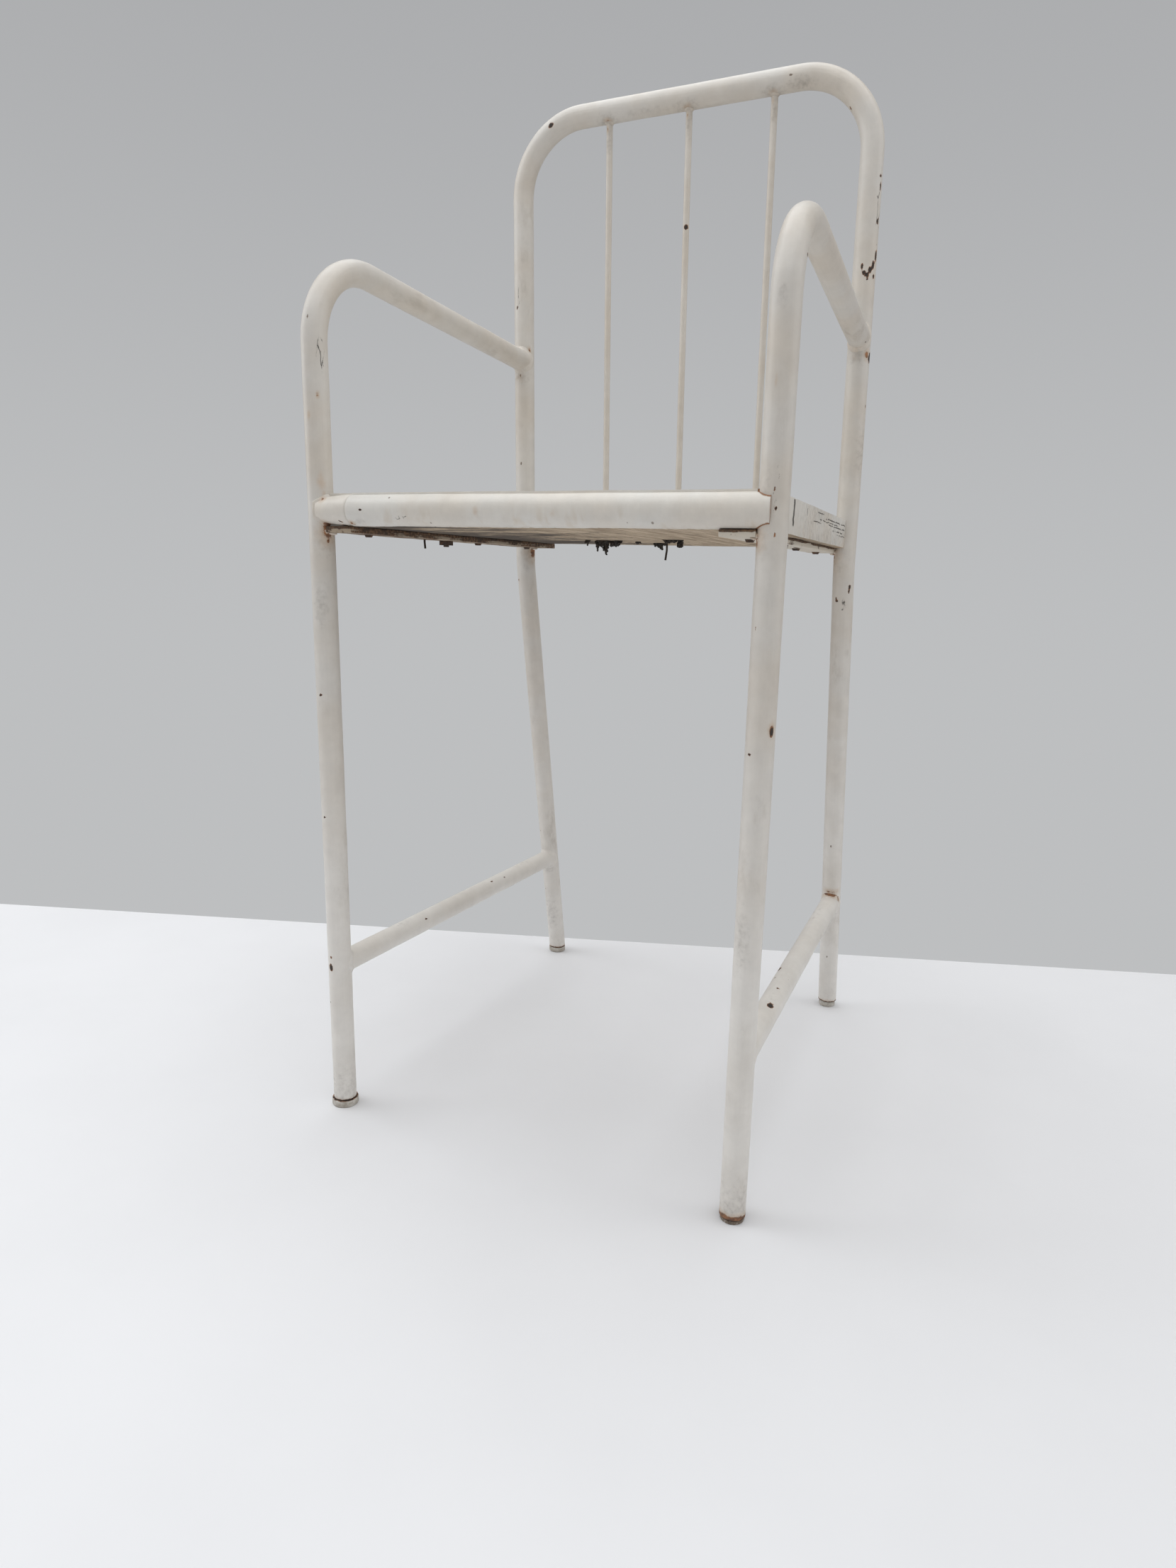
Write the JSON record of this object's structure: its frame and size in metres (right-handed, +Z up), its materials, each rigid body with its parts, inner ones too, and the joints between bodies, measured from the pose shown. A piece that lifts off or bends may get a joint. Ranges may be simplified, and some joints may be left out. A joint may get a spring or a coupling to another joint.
{
  "type": "high chair",
  "caption": "Child's high chair of bent white-painted steel tube with arms, a rod-filled hoop back, side stretchers and a round-nosed wooden seat board.",
  "frame": {"origin": "on the floor, under the middle of the chair's bounding box", "axes": "+Z up, the chair's front faces -Y, +X to the right of someone facing the chair"},
  "size_m": [0.3894, 0.459, 0.9185],
  "materials": {
    "frame_paint": "brushed-on cream-white enamel, worn",
    "rod_paint": "brushed-on cream-white enamel, worn",
    "weld_paint": "painted weld, rust stained",
    "seat_paint": "painted board, cracked along the grain",
    "strap_steel": "painted flat bar, rusty",
    "plug_rubber": "dull grey rubber",
    "plug_brown": "worn, rust-stained rubber",
    "fixing_steel": "dark, rusty steel"
  },
  "bodies": {
    "root": {"arm_leg_left": "frame_paint", "arm_leg_right": "frame_paint", "back_frame_tube": "frame_paint", "side_stretcher_left": "frame_paint", "side_stretcher_right": "frame_paint", "spindle_left": "rod_paint", "spindle_centre": "rod_paint", "spindle_right": "rod_paint", "seat_board": "seat_paint", "seat_nose_lug": "frame_paint", "rear_seat_rail": "frame_paint", "seat_strap_left": "strap_steel", "seat_strap_right": "strap_steel", "strap_screws": "fixing_steel", "strap_stud": "fixing_steel", "strap_nut": "fixing_steel", "seat_nails": "fixing_steel", "foot_plug_front_left": "plug_rubber", "foot_plug_front_right": "plug_brown", "foot_plug_rear_left": "plug_rubber", "foot_plug_rear_right": "plug_rubber", "arm_welds": "weld_paint", "stretcher_welds": "weld_paint", "rear_rail_welds": "weld_paint", "strap_welds": "weld_paint", "nose_lug_weld": "weld_paint", "spindle_welds": "weld_paint"}
  },
  "joints": []
}
